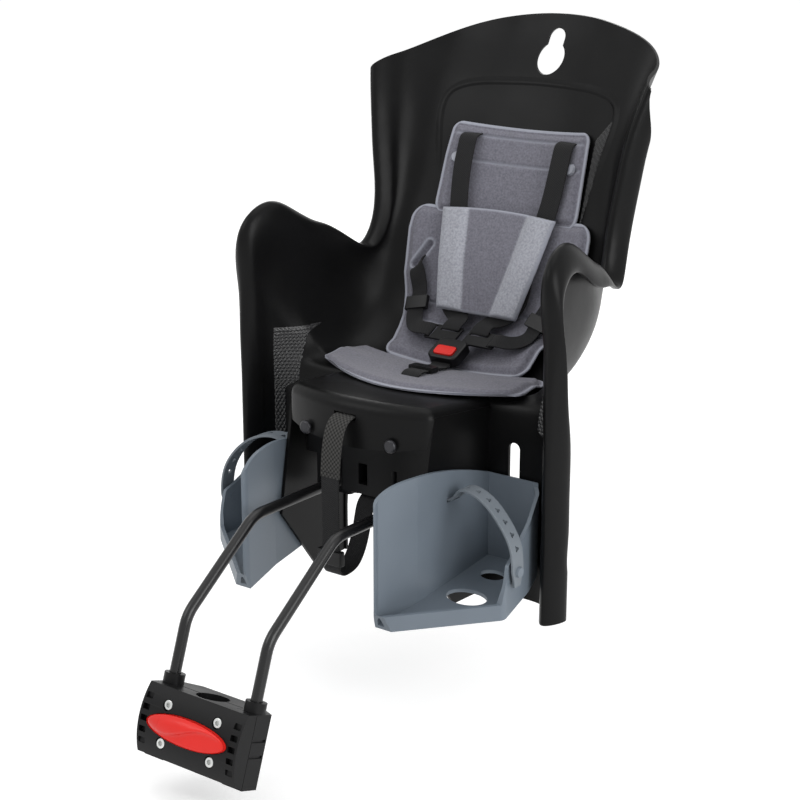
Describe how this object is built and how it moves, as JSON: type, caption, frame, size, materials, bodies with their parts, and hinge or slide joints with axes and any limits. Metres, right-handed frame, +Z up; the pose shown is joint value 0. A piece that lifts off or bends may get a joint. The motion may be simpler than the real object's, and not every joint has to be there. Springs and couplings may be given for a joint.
{
  "type": "child bike seat",
  "caption": "Moulded child seat for a bicycle with padded back, harness, leg guards and sliding footrests, on a bent rod fork with a clamp block for the seat tube.",
  "frame": {"origin": "centre of the seat-tube clamp in the fixing block", "axes": "+Z up, the child faces -Y, +X to the right as seen from the front; the clamp's axis leans back 20 degrees"},
  "size_m": [0.4396, 0.6811, 0.7138],
  "materials": {
    "shell_plastic": "black satin moulding",
    "block_plastic": "black moulding",
    "zinc": "zinc plated",
    "black_bolt": "black, domed",
    "red_plastic": "red, glossy",
    "black_rod": "black gloss coating",
    "felt": "grey lilac felt with welded edges",
    "clear_plastic": "clear",
    "buckle_plastic": "black",
    "webbing": "black woven webbing",
    "grey_plastic": "blue grey satin moulding",
    "grey_strap": "grey flexible strap"
  },
  "bodies": {
    "fixing_block": {"block_front_half": "block_plastic", "block_rear_half": "block_plastic", "block_bolts": "zinc", "block_nuts": "zinc"},
    "seat": {"shell": "shell_plastic", "support_fork": "black_rod", "base_housing": "block_plastic", "housing_bolts": "black_bolt", "rod_saddle_left": "block_plastic", "rod_saddle_right": "block_plastic", "saddle_screws": "zinc", "back_pad": "felt", "seat_pad": "felt", "chest_pad": "felt", "pad_snaps": "clear_plastic", "harness_buckle": "buckle_plastic", "crotch_strap": "webbing", "crotch_slide": "buckle_plastic", "safety_strap": "webbing", "safety_strap_buckle": "buckle_plastic", "buckle_tongue_left": "buckle_plastic", "shoulder_strap_left": "webbing", "hip_strap_left": "webbing", "strap_adjuster_left": "buckle_plastic", "buckle_tongue_right": "buckle_plastic", "shoulder_strap_right": "webbing", "hip_strap_right": "webbing", "strap_adjuster_right": "buckle_plastic"},
    "release_button": {"release_button": "red_plastic"},
    "buckle_button": {"buckle_button": "red_plastic"},
    "left_footrest": {"footrest_left": "grey_plastic", "foot_strap_left": "grey_strap"},
    "right_footrest": {"footrest_right": "grey_plastic", "foot_strap_right": "grey_strap"}
  },
  "joints": [
    {"name": "seat_release", "type": "slide", "parent": "fixing_block", "child": "seat", "axis": [0, 0.342, 0.9397], "range_m": [0, 0.07]},
    {"name": "release_button_press", "type": "slide", "parent": "fixing_block", "child": "release_button", "axis": [0, 0.9397, -0.342], "range_m": [0, 0.004], "stiffness_N_per_m": 800, "springref_m": -0.003},
    {"name": "buckle_button_press", "type": "slide", "parent": "seat", "child": "buckle_button", "axis": [0, 0.454, -0.891], "range_m": [0, 0.003], "stiffness_N_per_m": 600, "springref_m": -0.002},
    {"name": "left_footrest_slide", "type": "slide", "parent": "seat", "child": "left_footrest", "axis": [0, 0, 1], "range_m": [-0.05, 0.04]},
    {"name": "right_footrest_slide", "type": "slide", "parent": "seat", "child": "right_footrest", "axis": [0, 0, 1], "range_m": [-0.05, 0.04]}
  ]
}
